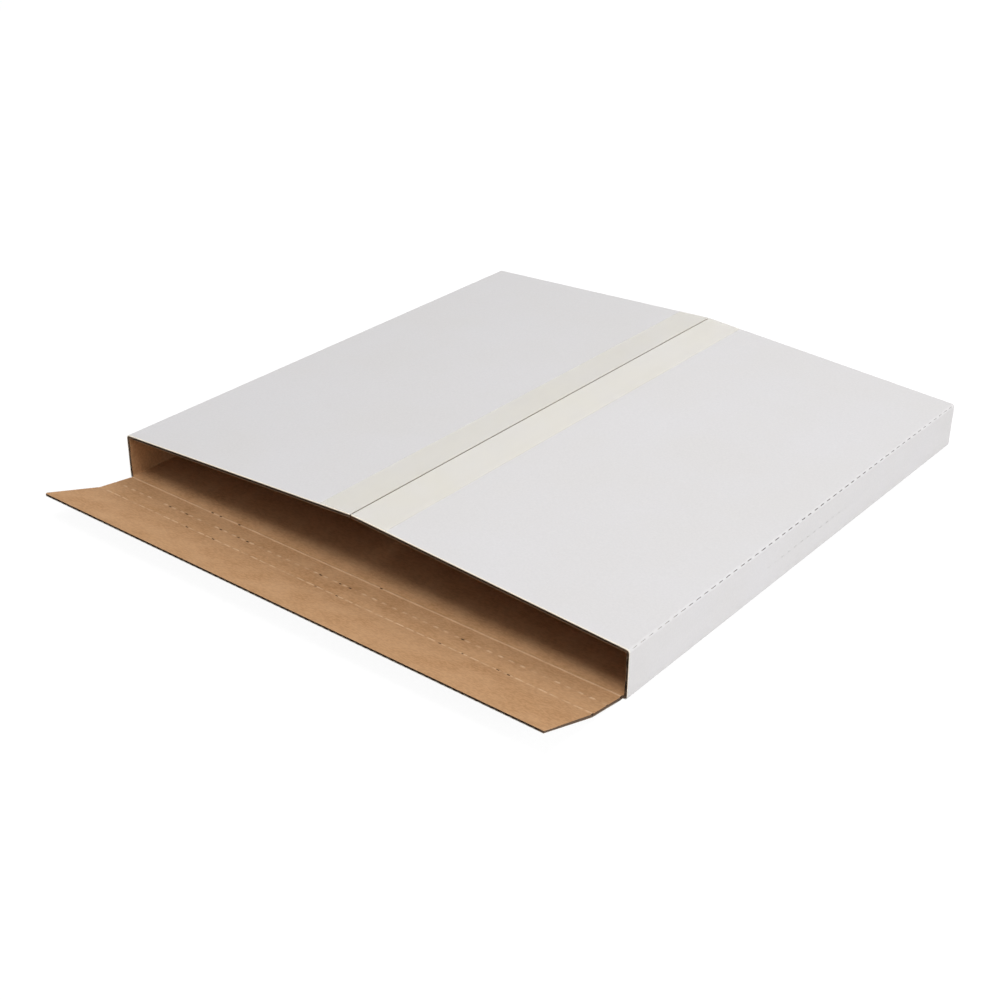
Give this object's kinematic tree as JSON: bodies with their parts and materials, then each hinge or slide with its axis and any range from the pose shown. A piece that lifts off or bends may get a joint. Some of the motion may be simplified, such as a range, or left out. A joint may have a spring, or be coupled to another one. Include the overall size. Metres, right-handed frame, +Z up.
{
  "type": "record mailer",
  "caption": "Flat square corrugated mailer for a record: folded board sleeve, white outside, kraft inside, taped along its top seam, front end flap hanging open.",
  "frame": {"origin": "centre of the underside of the bottom panel, midway between the walls and between the front and back ends of the walls", "axes": "+Z up out of the top panels, +X from the left wall to the right wall, and the open front end with the hanging flap faces -Y"},
  "size_m": [0.325, 0.3803, 0.0353],
  "materials": {
    "board": "matt white liner outside, brown kraft inside",
    "kraft_board": "matt brown kraft inside, white liner underneath",
    "tape": "clear packing tape, slightly yellow, low sheen"
  },
  "bodies": {
    "sleeve": {"sleeve_sheet": "board", "seam_tape": "tape"},
    "front_flap": {"front_flap_riser": "kraft_board"},
    "front_tuck": {"front_tuck_panel": "kraft_board"}
  },
  "joints": [
    {"name": "front_flap_fold", "type": "hinge", "parent": "sleeve", "child": "front_flap", "pos_m": [0, -0.1613, 0.0009], "axis": [-1, 0, 0], "range_deg": [-7, 77.6]},
    {"name": "front_tuck_fold", "type": "hinge", "parent": "front_flap", "child": "front_tuck", "pos_m": [0, -0.18312, 0.00373], "axis": [-1, 0, 0], "range_deg": [-10, 85]}
  ]
}
